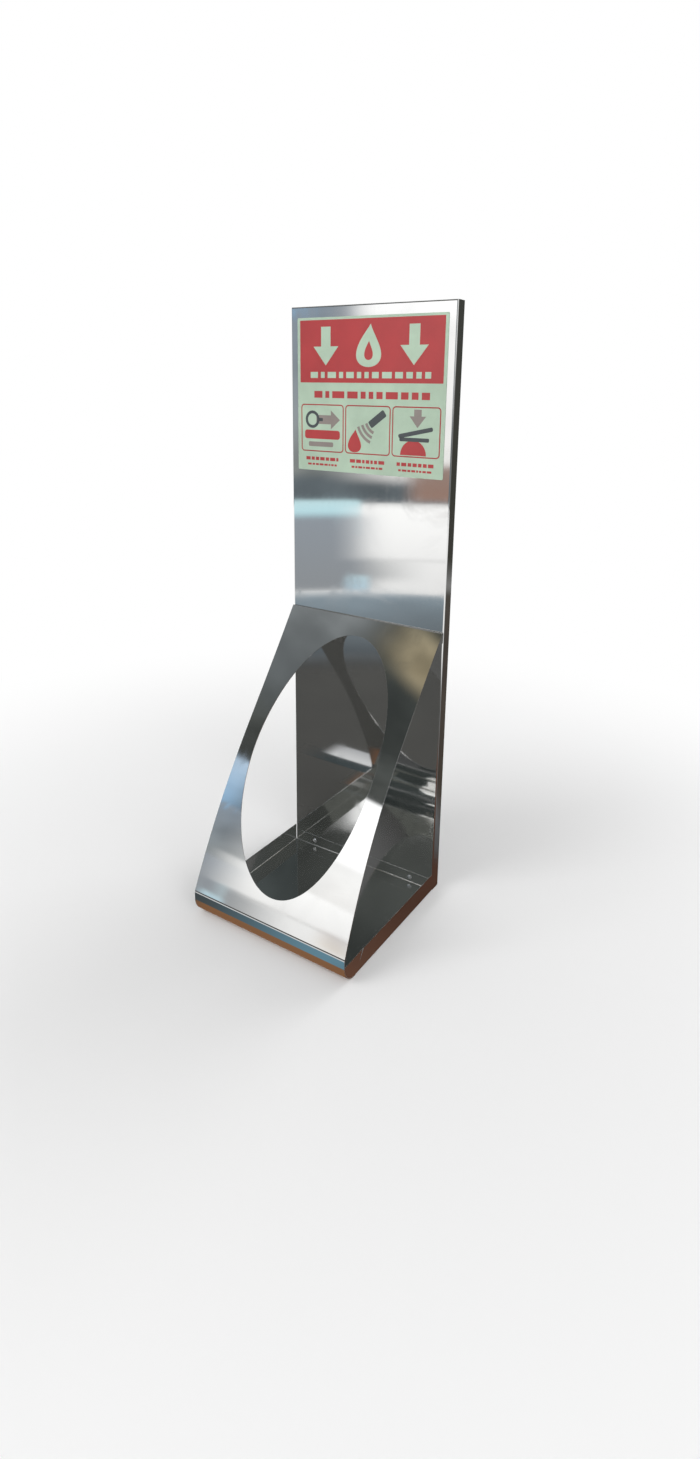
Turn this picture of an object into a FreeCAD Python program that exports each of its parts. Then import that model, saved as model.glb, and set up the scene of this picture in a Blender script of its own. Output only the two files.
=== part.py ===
"""Fire extinguisher stand of mirror-polished stainless sheet, free-standing on a floor.

Two folded sheets make the stand. The back panel is a shallow pan that carries a sign sheet.
The second sheet is the tray: its floor rolls up round the nose, folds back at the crease and
rises as a bowed guard to the back panel, with a large oval opening that the cylinder stands in.

Millimetres, +Z up, front towards -Y. The origin is the middle of the footprint on the floor.
"""
import FreeCAD, Part

import math
import os

import Sketcher
from FreeCAD import Placement, Rotation, Vector

# Driving dimensions, each with what it measures.
SIZES = {
    "stand_width": (230.0, "overall width, and the blank's width at the nose"),
    "stand_depth": (230.0, "overall depth, nose to the rear of the panel's returns"),
    "panel_height": (750.0, "overall height"),
    "sheet_gauge": (0.8, "thickness of both folded sheets"),
    "panel_return": (16.0, "depth of the back panel's folded returns"),
    "bend_radius": (1.6, "outer radius of the tight bends"),
    "nose_radius": (23.3, "outer radius of the rolled nose"),
    "lip_height": (10.0, "straight front lip between nose and crease"),
    "crease_radius": (8.0, "outer radius of the crease above the lip"),
    "guard_top": (366.8, "height of the guard's top line on the back panel"),
    "guard_lean": (4.1, "degrees that the guard's straight upper part lies below its chord"),
    "guard_bow_radius": (936.0, "outer radius of the guard's bowed lower part"),
    "guard_hollow": (3.4, "how far each side edge of the guard curves in"),
    "top_flange": (12.0, "height of the flange behind the guard's top line"),
    "opening_length": (337.6, "length of the oval opening along the guard"),
    "opening_width": (178.8, "width of the oval opening"),
    "opening_rise": (2.8, "opening's centre above the middle of the guard"),
    "wall_rise": (1.9, "height of the tray walls above the nose's radius"),
    "rear_flange": (16.5, "height of the tray's rear flange"),
    "seam_gap": (0.3, "gap where one edge of the folded tray meets another"),
    "rivet_spread": (160.6, "distance between the two rivets"),
    "rivet_shank": (3.2, "shank diameter of a rivet"),
    "rivet_head": (6.4, "head diameter of a rivet"),
    "rivet_dome": (1.1, "height of a rivet's dome"),
    "rivet_hole": (3.3, "diameter of the holes for the rivets"),
    "sign_width": (210.0, "width of the sign sheet"),
    "sign_height": (184.5, "height of the sign sheet"),
    "sign_drop": (13.0, "panel's top edge down to the sign sheet"),
    "sign_corner": (1.5, "corner radius of the sign sheet"),
    "sign_gauge": (0.5, "thickness of the sign sheet"),
}
S = {name: value for name, (value, note) in SIZES.items()}

# Sizes that follow from the driving ones, as expressions for the model.
PANEL_FRONT = "(sizes.stand_depth / 2 - sizes.panel_return)"
WALL_HEIGHT = "(sizes.nose_radius + sizes.wall_rise)"
GUARD_FOOT = "(sizes.nose_radius + sizes.lip_height)"
GUARD_RISE = f"(sizes.guard_top - {GUARD_FOOT})"
GUARD_RUN = "(sizes.stand_depth - sizes.panel_return)"
CHORD = f"sqrt({GUARD_RISE} ^ 2 + {GUARD_RUN} ^ 2)"
CHORD_ANGLE = f"atan({GUARD_RISE} / {GUARD_RUN})"
STRAIGHT_ANGLE = f"({CHORD_ANGLE} - sizes.guard_lean * 1 deg)"
NOSE_BACK = "(sizes.stand_depth / 2 - sizes.nose_radius)"
INNER_BEND = "(sizes.bend_radius - sizes.sheet_gauge)"
GUARD_CUT = "(sizes.stand_depth / 3)"

# How close, in millimetres, an edge lies to the place where it is looked for.
NEAR = 0.01

doc = FreeCAD.newDocument("fire_extinguisher_stand")
sheet = doc.addObject("Spreadsheet::Sheet", "sizes")
for row, (name, (value, note)) in enumerate(SIZES.items(), start=1):
    sheet.set(f"A{row}", name)
    sheet.set(f"B{row}", str(value))
    sheet.set(f"C{row}", note)
    sheet.setAlias(f"B{row}", name)
doc.recompute()


def number(expression):
    """What an expression of the sizes comes to, with angles in radians."""
    result = sheet.evalExpression(expression)
    return math.radians(result.Value) if isinstance(result, FreeCAD.Units.Quantity) else float(result)


# The same sizes as numbers, for the places where the sketches first put their lines.
panel_front = number(PANEL_FRONT)
wall_height = number(WALL_HEIGHT)
guard_foot = number(GUARD_FOOT)
chord_length = number(CHORD)


def new_body(name):
    """Body whose label is the sub-part's name."""
    body = doc.addObject("PartDesign::Body", name)
    body.Label = name
    return body


def new_sketch(body, name, plane, turn=Rotation()):
    """Sketch on one of the body's origin planes, turned in that plane's own axes."""
    sketch = body.newObject("Sketcher::SketchObject", name)
    support = next(item for item in body.Origin.OriginFeatures if item.Role == plane)
    sketch.AttachmentSupport = [(support, "")]
    sketch.MapMode = "FlatFace"
    sketch.AttachmentOffset = Placement(Vector(), turn)
    return sketch


def limit(sketch, name, expression, kind, *where):
    """Named constraint whose value is an expression of the sizes."""
    index = sketch.addConstraint(Sketcher.Constraint(kind, *where, number(expression)))
    sketch.renameConstraint(index, name)
    sketch.setExpression(f"Constraints.{name}", expression)


def relate(sketch, kind, *where):
    """Constraint without a value."""
    sketch.addConstraint(Sketcher.Constraint(kind, *where))


def line(sketch, start, end):
    """Straight edge between two points of the sketch."""
    return sketch.addGeometry(Part.LineSegment(Vector(*start), Vector(*end)), False)


def arc(sketch, centre, radius, first, last):
    """Arc about a centre, counter-clockwise from one angle to another, in radians."""
    whole = Part.Circle(Vector(*centre), Vector(0, 0, 1), radius)
    return sketch.addGeometry(Part.ArcOfCircle(whole, first, last), False)


def circle(sketch, centre, radius):
    """Full circle in the sketch."""
    return sketch.addGeometry(Part.Circle(Vector(*centre), Vector(0, 0, 1), radius), False)


def pad(body, name, sketch, length, kind="One side", backwards=False):
    """Pad whose length is an expression."""
    feature = body.newObject("PartDesign::Pad", name)
    feature.Profile = sketch
    feature.SideType = kind
    feature.Reversed = backwards
    feature.setExpression("Length", length)
    doc.recompute()
    return feature


def pocket(body, name, sketch, length, kind="One side", backwards=False):
    """Pocket that has to take material away."""
    before = body.Shape.Volume
    feature = body.newObject("PartDesign::Pocket", name)
    feature.Profile = sketch
    feature.SideType = kind
    feature.Reversed = backwards
    feature.setExpression("Length", length)
    doc.recompute()
    if body.Shape.Volume >= before:
        raise RuntimeError(f"{name} removes nothing")
    return feature


def mirror(body, name, feature):
    """Copy of a feature on the other side of the stand."""
    copy = body.newObject("PartDesign::Mirrored", name)
    copy.Originals = [feature]
    side = next(item for item in body.Origin.OriginFeatures if item.Role == "YZ_Plane")
    copy.MirrorPlane = (side, [""])
    body.Tip = copy
    doc.recompute()


def edges_where(shape, test):
    """Names of the edges whose bounding box passes a test."""
    return [f"Edge{i}" for i, edge in enumerate(shape.Edges, start=1) if test(edge.BoundBox)]


def rectangle(sketch, width, low, high):
    """Closed rectangle across the sketch's Y axis. Returns its bottom, right and top lines."""
    half = width / 2
    corners = [(-half, low), (half, low), (half, high), (-half, high)]
    sides = [line(sketch, corners[i], corners[(i + 1) % 4]) for i in range(4)]
    for i in range(4):
        relate(sketch, "Coincident", sides[i], 2, sides[(i + 1) % 4], 1)
    relate(sketch, "Vertical", sides[1])
    relate(sketch, "Vertical", sides[3])
    relate(sketch, "Symmetric", sides[0], 1, sides[0], 2, -2)
    relate(sketch, "Horizontal", sides[2])
    return sides[:3]


def chain(sketch, pieces):
    """Joins lines and arcs smoothly, where each piece is (geometry, its start, its stop)."""
    for (one, start, stop), (two, begin, end) in zip(pieces, pieces[1:]):
        relate(sketch, "Tangent", one, stop, two, begin)


def bent_sheet(sketch, pieces, cap_direction):
    """Closed profile of a bent sheet, from the pieces of its outer skin.

    A piece is ("line", start, end) or ("arc", centre, radius, first angle, last angle), where
    an arc turns clockwise. The sheet lies to the right of its skin. cap_direction says how
    the cut edge at each end lies. Returns the geometry numbers of the skin's pieces.
    """
    gauge = S["sheet_gauge"]
    outer, inner = [], []
    for piece in pieces:
        if piece[0] == "line":
            start, end = Vector(*piece[1]), Vector(*piece[2])
            along = (end - start).normalize()
            aside = Vector(along.y, -along.x) * gauge
            outer.append((line(sketch, start, end), 1, 2))
            inner.append((line(sketch, start + aside, end + aside), 1, 2))
            relate(sketch, "Parallel", outer[-1][0], inner[-1][0])
        else:
            centre, radius, first, last = piece[1:]
            outer.append((arc(sketch, centre, radius, last, first), 2, 1))
            inner.append((arc(sketch, centre, radius - gauge, last, first), 2, 1))
            relate(sketch, "Coincident", outer[-1][0], 3, inner[-1][0], 3)
    chain(sketch, outer)
    chain(sketch, inner)
    caps = []
    for end, side, direction in ((0, 1, cap_direction[0]), (-1, 2, cap_direction[1])):
        skin, back = outer[end][0], inner[end][0]
        place = outer[end][side]
        cap = line(sketch, sketch.getPoint(skin, place), sketch.getPoint(back, place))
        relate(sketch, "Coincident", cap, 1, skin, place)
        relate(sketch, "Coincident", cap, 2, back, place)
        relate(sketch, direction, cap)
        if pieces[end][0] == "arc":
            relate(sketch, "PointOnObject", skin, 3, cap)
        caps.append(cap)
    limit(sketch, "gauge", "sizes.sheet_gauge", "Distance", caps[0])
    return [geometry for geometry, start, stop in outer]


def back_panel():
    """Shallow pan, open to the rear, with returns on all four sides and holes for the rivets."""
    body = new_body("back_panel")
    outline = new_sketch(body, "panel_outline", "XY_Plane")
    front, right, rear = rectangle(outline, S["stand_width"], panel_front, S["stand_depth"] / 2)
    limit(outline, "width", "sizes.stand_width", "DistanceX", front, 1, front, 2)
    limit(outline, "rear", "sizes.stand_depth / 2", "DistanceY", -1, 1, rear, 1)
    limit(outline, "depth", "sizes.panel_return", "DistanceY", right, 1, right, 2)
    block = pad(body, "panel_block", outline, "sizes.panel_height")

    bends = body.newObject("PartDesign::Fillet", "panel_bends")
    at_front = edges_where(block.Shape, lambda box: box.YMax < panel_front + NEAR)
    bends.Base = (block, at_front)
    bends.setExpression("Radius", "sizes.bend_radius")
    doc.recompute()

    gauge = S["sheet_gauge"]
    inside = new_sketch(body, "panel_hollow_outline", "XZ_Plane")
    width, height = S["stand_width"] - 2 * gauge, S["panel_height"] - gauge
    low, right = rectangle(inside, width, gauge, height)[:2]
    limit(inside, "width", "sizes.stand_width - 2 * sizes.sheet_gauge", "DistanceX", low, 1, low, 2)
    limit(inside, "foot", "sizes.sheet_gauge", "DistanceY", -1, 1, low, 1)
    limit(inside, "height", "sizes.panel_height - 2 * sizes.sheet_gauge", "DistanceY", right, 1, right, 2)
    inside.setExpression("AttachmentOffset.Base.z", "-sizes.stand_depth / 2")
    hollow = pocket(body, "panel_hollow", inside, "sizes.panel_return - sizes.sheet_gauge", backwards=True)

    floor = panel_front + gauge
    at_floor = edges_where(hollow.Shape, lambda box: box.YMin > floor - NEAR and box.YMax < floor + NEAR)
    inner_bends = body.newObject("PartDesign::Fillet", "panel_inner_bends")
    inner_bends.Base = (hollow, at_floor)
    inner_bends.setExpression("Radius", INNER_BEND)
    doc.recompute()
    rivet_holes(body)
    return body


def rivet_holes(body):
    """Two holes for the rivets, from the middle of the stand backwards."""
    holes = new_sketch(body, f"{body.Name}_hole_circles", "XZ_Plane")
    height, spread = S["rear_flange"] / 2, S["rivet_spread"] / 2
    left = circle(holes, (-spread, height), S["rivet_hole"] / 2)
    right = circle(holes, (spread, height), S["rivet_hole"] / 2)
    relate(holes, "Symmetric", left, 3, right, 3, -2)
    relate(holes, "Equal", left, right)
    limit(holes, "spread", "sizes.rivet_spread", "DistanceX", left, 3, right, 3)
    limit(holes, "height", "sizes.rear_flange / 2", "DistanceY", -1, 1, right, 3)
    limit(holes, "hole", "sizes.rivet_hole", "Diameter", right)
    pocket(body, f"{body.Name}_holes", holes, "sizes.stand_depth / 2")


def tray_and_guard():
    """One folded sheet: tray floor and walls, rear flange, rolled nose, lip and bowed guard."""
    body = new_body("tray_and_guard")
    tray_section(body)
    front_strip(body)
    tray_ears(body)
    tray_rear_flange(body)
    rivet_holes(body)
    guard_opening(body)
    guard_side_edges(body)
    return body


def tray_section(body):
    """Floor with a wall folded up on each side, from the nose back to the rear flange."""
    half, bend, gauge = S["stand_width"] / 2, S["bend_radius"], S["sheet_gauge"]
    section = new_sketch(body, "tray_section_line", "XZ_Plane")
    skin = [
        ("line", (half, wall_height), (half, bend)),
        ("arc", (half - bend, bend), bend, 0, -math.pi / 2),
        ("line", (half - bend, 0), (bend - half, 0)),
        ("arc", (bend - half, bend), bend, -math.pi / 2, -math.pi),
        ("line", (-half, bend), (-half, wall_height)),
    ]
    right, right_bend, floor, left_bend, left = bent_sheet(section, skin, ("Horizontal", "Horizontal"))
    relate(section, "Vertical", right)
    relate(section, "Vertical", left)
    relate(section, "Horizontal", floor)
    relate(section, "Equal", right_bend, left_bend)
    relate(section, "PointOnObject", floor, 1, -1)
    relate(section, "Symmetric", right, 1, left, 2, -2)
    limit(section, "width", "sizes.stand_width", "DistanceX", left, 2, right, 1)
    limit(section, "height", WALL_HEIGHT, "DistanceY", -1, 1, right, 1)
    limit(section, "bend", "sizes.bend_radius", "Radius", right_bend)
    section.setExpression("AttachmentOffset.Base.z", NOSE_BACK)
    pad(body, "tray", section, f"{NOSE_BACK} + {PANEL_FRONT} - sizes.bend_radius", backwards=True)


def front_strip(body):
    """Nose, lip, crease, guard and top flange, as one smooth strip of the full width.

    The guard's upper part is straight and leans a little below the chord from lip to panel.
    Its lower part is an arc that meets the straight part and the crease smoothly.
    """
    front, nose, foot = -S["stand_depth"] / 2, S["nose_radius"], guard_foot
    crease, bow, bend = S["crease_radius"], S["guard_bow_radius"], S["bend_radius"]
    lean = number(STRAIGHT_ANGLE)
    top = (panel_front - bend * (1 + math.sin(lean)), S["guard_top"] - bend * (1 - math.cos(lean)))
    reach = (top[0] - front - crease) * math.sin(lean) - (top[1] - foot) * math.cos(lean)
    steep = lean + math.acos((bow + reach) / (bow - crease))
    crease_centre = (front + crease, foot)
    normal = (-math.sin(steep), math.cos(steep))
    bow_centre = [crease_centre[i] - (bow - crease) * normal[i] for i in (0, 1)]
    straight_foot = (bow_centre[0] - bow * math.sin(lean), bow_centre[1] + bow * math.cos(lean))
    bend_centre = (panel_front - bend, S["guard_top"] - bend)
    skin = [
        ("arc", (front + nose, nose), nose, -math.pi / 2, -math.pi),
        ("line", (front, nose), (front, foot)),
        ("arc", crease_centre, crease, math.pi, math.pi / 2 + steep),
        ("arc", bow_centre, bow, math.pi / 2 + steep, math.pi / 2 + lean),
        ("line", straight_foot, top),
        ("arc", bend_centre, bend, math.pi / 2 + lean, 0),
        ("line", (panel_front, bend_centre[1]), (panel_front, bend_centre[1] - S["top_flange"])),
    ]
    strip = new_sketch(body, "strip_line", "YZ_Plane")
    roll, lip, fold, bowed, straight, top_bend, flange = bent_sheet(strip, skin, ("Vertical", "Horizontal"))
    relate(strip, "PointOnObject", roll, 2, -1)
    relate(strip, "Vertical", lip)
    relate(strip, "Vertical", flange)
    limit(strip, "front", "sizes.stand_depth / 2", "DistanceX", lip, 1, -1, 1)
    limit(strip, "nose", "sizes.nose_radius", "Radius", roll)
    limit(strip, "foot", GUARD_FOOT, "DistanceY", -1, 1, lip, 2)
    limit(strip, "crease", "sizes.crease_radius", "Radius", fold)
    limit(strip, "bow", "sizes.guard_bow_radius", "Radius", bowed)
    limit(strip, "lean", STRAIGHT_ANGLE, "Angle", -1, 1, straight, 1)
    limit(strip, "bend", "sizes.bend_radius", "Radius", top_bend)
    limit(strip, "panel", PANEL_FRONT, "DistanceX", -1, 1, flange, 1)
    limit(strip, "top", "sizes.guard_top - sizes.bend_radius", "DistanceY", -1, 1, top_bend, 3)
    limit(strip, "flange", "sizes.top_flange", "DistanceY", flange, 2, flange, 1)
    pad(body, "front_strip", strip, "sizes.stand_width", kind="Symmetric")


def tray_ears(body):
    """Rounded front end of each wall, tucked inside the nose and the lip."""
    back = S["nose_radius"] - S["stand_depth"] / 2
    radius = S["nose_radius"] - S["sheet_gauge"] - S["seam_gap"]
    ear = new_sketch(body, "ear_outline", "YZ_Plane")
    centre, front = (back, S["nose_radius"]), back - radius
    round_edge = arc(ear, centre, radius, math.pi, 1.5 * math.pi)
    front_edge = line(ear, (front, centre[1]), (front, wall_height))
    top_edge = line(ear, (front, wall_height), (back, wall_height))
    back_edge = line(ear, (back, wall_height), (back, centre[1] - radius))
    relate(ear, "Tangent", round_edge, 1, front_edge, 1)
    relate(ear, "Coincident", front_edge, 2, top_edge, 1)
    relate(ear, "Coincident", top_edge, 2, back_edge, 1)
    relate(ear, "Coincident", back_edge, 2, round_edge, 2)
    relate(ear, "Vertical", front_edge)
    relate(ear, "Horizontal", top_edge)
    relate(ear, "Vertical", back_edge)
    limit(ear, "radius", "sizes.nose_radius - sizes.sheet_gauge - sizes.seam_gap", "Radius", round_edge)
    limit(ear, "back", NOSE_BACK, "DistanceX", round_edge, 3, -1, 1)
    relate(ear, "Vertical", round_edge, 3, back_edge, 2)
    limit(ear, "centre", "sizes.nose_radius", "DistanceY", -1, 1, round_edge, 3)
    limit(ear, "height", WALL_HEIGHT, "DistanceY", -1, 1, top_edge, 1)
    ear.setExpression("AttachmentOffset.Base.z", "sizes.stand_width / 2 - sizes.sheet_gauge")
    mirror(body, "left_ear", pad(body, "right_ear", ear, "sizes.sheet_gauge"))


def tray_rear_flange(body):
    """Flange folded up at the rear of the floor, flat on the back panel."""
    bend, high = S["bend_radius"], S["rear_flange"]
    flange = new_sketch(body, "rear_flange_line", "YZ_Plane")
    skin = [
        ("line", (panel_front, high), (panel_front, bend)),
        ("arc", (panel_front - bend, bend), bend, 0, -math.pi / 2),
    ]
    upright, fold = bent_sheet(flange, skin, ("Horizontal", "Vertical"))
    relate(flange, "Vertical", upright)
    relate(flange, "PointOnObject", fold, 1, -1)
    limit(flange, "panel", PANEL_FRONT, "DistanceX", -1, 1, upright, 1)
    limit(flange, "height", "sizes.rear_flange", "DistanceY", -1, 1, upright, 1)
    limit(flange, "bend", "sizes.bend_radius", "Radius", fold)
    width = "sizes.stand_width - 2 * (sizes.bend_radius + sizes.seam_gap)"
    pad(body, "rear_flange", flange, width, kind="Symmetric")


def guard_sketch(body, name):
    """Sketch on the plane of the guard's chord, with its Y axis up the guard from the lip."""
    sketch = new_sketch(body, name, "XY_Plane", turn=Rotation(Vector(1, 0, 0), 1))
    sketch.setExpression("AttachmentOffset.Base.y", "-sizes.stand_depth / 2")
    sketch.setExpression("AttachmentOffset.Base.z", GUARD_FOOT)
    sketch.setExpression("AttachmentOffset.Rotation.Angle", CHORD_ANGLE)
    doc.recompute()
    return sketch


def guard_opening(body):
    """Oval opening through the guard only."""
    outline = guard_sketch(body, "opening_outline")
    middle = chord_length / 2 + S["opening_rise"]
    tip = Vector(0, middle + S["opening_length"] / 2)
    side = Vector(S["opening_width"] / 2, middle)
    oval = outline.addGeometry(Part.Ellipse(tip, side, Vector(0, middle)), False)
    outline.exposeInternalGeometry(oval)
    long_axis, short_axis = oval + 1, oval + 2
    relate(outline, "PointOnObject", oval, 3, -2)
    relate(outline, "Vertical", long_axis)
    limit(outline, "middle", f"{CHORD} / 2 + sizes.opening_rise", "DistanceY", -1, 1, oval, 3)
    limit(outline, "length", "sizes.opening_length", "Distance", long_axis)
    limit(outline, "width", "sizes.opening_width", "Distance", short_axis)
    pocket(body, "opening", outline, GUARD_CUT, kind="Symmetric")


def guard_side_edges(body):
    """Slightly hollow side edges of the guard, cut by one wide circle on each side."""
    outline = guard_sketch(body, "side_edge_circle")
    half, hollow = S["stand_width"] / 2, S["guard_hollow"]
    radius = (chord_length ** 2 / 4 + hollow ** 2) / (2 * hollow)
    cutter = circle(outline, (half - hollow + radius, chord_length / 2), radius)
    limit(outline, "middle", f"{CHORD} / 2", "DistanceY", -1, 1, cutter, 3)
    limit(outline, "across", f"sizes.stand_width / 2 - sizes.guard_hollow + {edge_radius()}",
          "DistanceX", -1, 1, cutter, 3)
    limit(outline, "radius", edge_radius(), "Radius", cutter)
    cut = pocket(body, "right_edge", outline, GUARD_CUT, kind="Symmetric")
    mirror(body, "left_edge", cut)


def edge_radius():
    """Radius of the circle that leaves the guard's ends at full width and hollows its middle."""
    return f"({CHORD} ^ 2 / 4 + sizes.guard_hollow ^ 2) / (2 * sizes.guard_hollow)"


def sign_sheet():
    """Thin sheet with rounded corners, stuck flat on the back panel near its top."""
    body = new_body("sign_sheet")
    high = S["panel_height"] - S["sign_drop"]
    outline = new_sketch(body, "sign_outline", "XZ_Plane")
    low, right, top = rectangle(outline, S["sign_width"], high - S["sign_height"], high)
    limit(outline, "width", "sizes.sign_width", "DistanceX", low, 1, low, 2)
    limit(outline, "top", "sizes.panel_height - sizes.sign_drop", "DistanceY", -1, 1, top, 1)
    limit(outline, "height", "sizes.sign_height", "DistanceY", right, 1, right, 2)
    outline.setExpression("AttachmentOffset.Base.z", f"-{PANEL_FRONT}")
    plate = pad(body, "sign_plate", outline, "sizes.sign_gauge")
    upright = edges_where(plate.Shape, lambda box: max(box.XLength, box.ZLength) < NEAR)
    corners = body.newObject("PartDesign::Fillet", "sign_corners")
    corners.Base = (plate, upright)
    corners.setExpression("Radius", "sizes.sign_corner")
    doc.recompute()
    return body


def rear_rivets():
    """Two rivets through the tray's rear flange and the back panel, each with a domed head."""
    body = new_body("rear_rivets")
    front, back = panel_front - S["sheet_gauge"], panel_front + S["sheet_gauge"]
    head, shank, dome = S["rivet_head"] / 2, S["rivet_shank"] / 2, S["rivet_dome"]
    bulb = (head + shank) / 2
    ball = (head ** 2 + dome ** 2) / (2 * dome)
    half_angle = math.asin(head / ball)
    profile = new_sketch(body, "rivet_profile", "YZ_Plane")
    domed = arc(profile, (front - dome + ball, 0), ball, math.pi - half_angle, math.pi)
    under = line(profile, (front, head), (front, shank))
    grip = line(profile, (front, shank), (back, shank))
    seat = line(profile, (back, shank), (back, bulb))
    blind = arc(profile, (back, 0), bulb, 0, math.pi / 2)
    middle = line(profile, (back + bulb, 0), (front - dome, 0))
    outline = [(domed, 2, 1), (under, 1, 2), (grip, 1, 2), (seat, 1, 2), (blind, 2, 1), (middle, 1, 2)]
    for (one, start, stop), (two, begin, end) in zip(outline, outline[1:] + outline[:1]):
        relate(profile, "Coincident", one, stop, two, begin)
    for vertical in (under, seat):
        relate(profile, "Vertical", vertical)
    for level in (grip, middle):
        relate(profile, "Horizontal", level)
    for geometry, place in ((middle, 1), (domed, 3), (blind, 3)):
        relate(profile, "PointOnObject", geometry, place, -1)
    relate(profile, "Vertical", blind, 3, blind, 2)
    limit(profile, "front", f"{PANEL_FRONT} - sizes.sheet_gauge", "DistanceX", -1, 1, under, 1)
    limit(profile, "grip", "2 * sizes.sheet_gauge", "DistanceX", grip, 1, grip, 2)
    limit(profile, "head", "sizes.rivet_head / 2", "DistanceY", -1, 1, under, 1)
    limit(profile, "shank", "sizes.rivet_shank / 2", "DistanceY", -1, 1, grip, 1)
    limit(profile, "dome", "sizes.rivet_dome", "DistanceX", middle, 2, under, 1)
    limit(profile, "bulb", "(sizes.rivet_head + sizes.rivet_shank) / 4", "Radius", blind)
    profile.setExpression("AttachmentOffset.Base.y", "sizes.rear_flange / 2")
    profile.setExpression("AttachmentOffset.Base.z", "sizes.rivet_spread / 2")
    rivet = body.newObject("PartDesign::Revolution", "right_rivet")
    rivet.Profile = profile
    rivet.ReferenceAxis = (profile, ["H_Axis"])
    rivet.Angle = 360
    doc.recompute()
    mirror(body, "left_rivet", rivet)
    return body


PARTS = [back_panel(), tray_and_guard(), sign_sheet(), rear_rivets()]
doc.recompute()

for item in doc.Objects:
    if "Invalid" in item.State or "Error" in item.State:
        raise RuntimeError(f"{item.Label} did not compute: {item.State}")
for part in PARTS:
    if part.Shape.isNull() or not part.Shape.isValid():
        raise RuntimeError(f"{part.Label} has no valid shape")

os.makedirs("parts", exist_ok=True)
for part in PARTS:
    box = part.Shape.optimalBoundingBox()
    print(part.Label, len(part.Shape.Solids), "solid(s)", round(part.Shape.Volume), "mm3", box)
    part.Shape.exportStep(f"parts/{part.Label}.step")
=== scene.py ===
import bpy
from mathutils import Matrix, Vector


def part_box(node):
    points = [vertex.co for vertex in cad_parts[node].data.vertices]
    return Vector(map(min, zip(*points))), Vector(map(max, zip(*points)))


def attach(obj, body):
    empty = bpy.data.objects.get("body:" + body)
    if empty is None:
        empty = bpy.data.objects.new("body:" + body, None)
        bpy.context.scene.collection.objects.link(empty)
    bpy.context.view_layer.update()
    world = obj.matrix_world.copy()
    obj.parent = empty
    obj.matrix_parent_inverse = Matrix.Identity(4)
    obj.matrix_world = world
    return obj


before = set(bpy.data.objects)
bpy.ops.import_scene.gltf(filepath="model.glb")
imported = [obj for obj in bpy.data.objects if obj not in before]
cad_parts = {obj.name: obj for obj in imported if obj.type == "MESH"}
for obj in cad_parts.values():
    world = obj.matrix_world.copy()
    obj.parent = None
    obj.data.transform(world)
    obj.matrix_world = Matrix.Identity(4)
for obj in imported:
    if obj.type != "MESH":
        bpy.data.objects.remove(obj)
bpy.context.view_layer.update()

"""Dresses a mirror-polished stand of folded stainless sheet, with a printed luminous sign.

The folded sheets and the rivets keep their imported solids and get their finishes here. The print
on the sign, the rivets' stems, the studio and the camera are made below, in metres, +Z up.
"""
import logging
import math
from dataclasses import dataclass, field
from enum import Enum
from typing import Any, Optional, Sequence

import bmesh
import bpy
from mathutils import Matrix, Vector

LOG = logging.getLogger("stand")
BODY = "root"
MM = 0.001
UPRIGHT_TURN = Matrix.Rotation(math.pi / 2, 4, "X")

Point = tuple[float, float]
Colour = tuple[float, float, float]


def grey(level: float) -> Colour:
    """A grey of one level."""
    return level, level, level


# Node trees

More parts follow.
